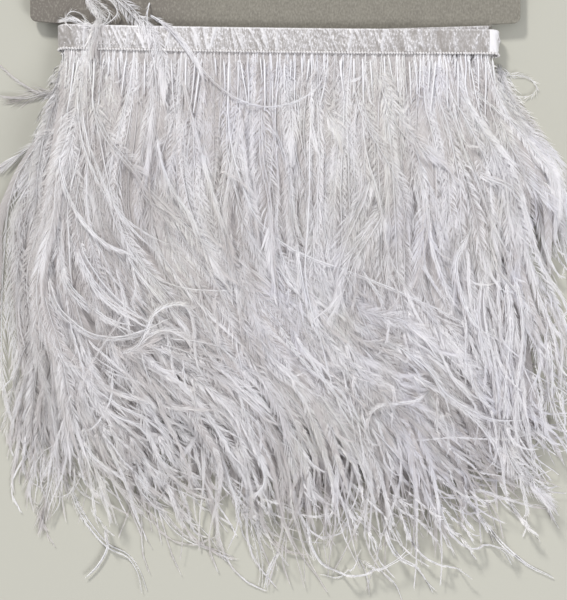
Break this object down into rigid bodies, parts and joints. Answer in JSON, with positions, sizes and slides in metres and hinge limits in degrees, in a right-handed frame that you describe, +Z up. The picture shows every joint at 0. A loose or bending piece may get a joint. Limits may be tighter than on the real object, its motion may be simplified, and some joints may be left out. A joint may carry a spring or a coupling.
{
  "type": "ostrich feather fringe",
  "caption": "Deep fringe of soft white ostrich plumes sewn into a folded satin tape, wound flat round a grey board card.",
  "frame": {"origin": "the middle of the tape's length and width, on the surface that the fringe lies on", "axes": "+X along the tape to the viewer's right, +Y from the plumes towards the head of the card, +Z up from the surface towards the viewer"},
  "size_m": [0.2358, 0.273, 0.021],
  "materials": {
    "grey_board": "matt uncoated grey board",
    "white_satin": "folded white satin ribbon with a soft sheen",
    "white_thread": "white sewing thread",
    "ostrich_plume": "soft white barbs with a slight silky gloss"
  },
  "bodies": {
    "root": {"card": "grey_board", "satin_tape": "white_satin", "chain_stitch": "white_thread", "rear_plume_01": "ostrich_plume", "rear_plume_02": "ostrich_plume", "rear_plume_03": "ostrich_plume", "rear_plume_04": "ostrich_plume", "rear_plume_05": "ostrich_plume", "rear_plume_06": "ostrich_plume", "rear_plume_07": "ostrich_plume", "rear_plume_08": "ostrich_plume", "rear_plume_09": "ostrich_plume", "rear_plume_10": "ostrich_plume", "rear_plume_11": "ostrich_plume", "back_plume_01": "ostrich_plume", "back_plume_02": "ostrich_plume", "back_plume_03": "ostrich_plume", "back_plume_04": "ostrich_plume", "back_plume_05": "ostrich_plume", "back_plume_06": "ostrich_plume", "back_plume_07": "ostrich_plume", "back_plume_08": "ostrich_plume", "back_plume_09": "ostrich_plume", "inner_plume_01": "ostrich_plume", "inner_plume_02": "ostrich_plume", "inner_plume_03": "ostrich_plume", "inner_plume_04": "ostrich_plume", "inner_plume_05": "ostrich_plume", "inner_plume_06": "ostrich_plume", "inner_plume_07": "ostrich_plume", "inner_plume_08": "ostrich_plume", "inner_plume_09": "ostrich_plume", "inner_plume_10": "ostrich_plume", "inner_plume_11": "ostrich_plume", "inner_plume_12": "ostrich_plume", "front_plume_01": "ostrich_plume", "front_plume_02": "ostrich_plume", "front_plume_03": "ostrich_plume", "front_plume_04": "ostrich_plume", "front_plume_05": "ostrich_plume", "front_plume_06": "ostrich_plume", "front_plume_07": "ostrich_plume", "front_plume_08": "ostrich_plume", "front_plume_09": "ostrich_plume", "front_plume_10": "ostrich_plume", "front_plume_11": "ostrich_plume", "front_plume_12": "ostrich_plume", "front_plume_13": "ostrich_plume", "front_plume_14": "ostrich_plume", "front_plume_15": "ostrich_plume", "front_plume_16": "ostrich_plume", "front_plume_17": "ostrich_plume", "front_plume_18": "ostrich_plume"}
  },
  "joints": []
}
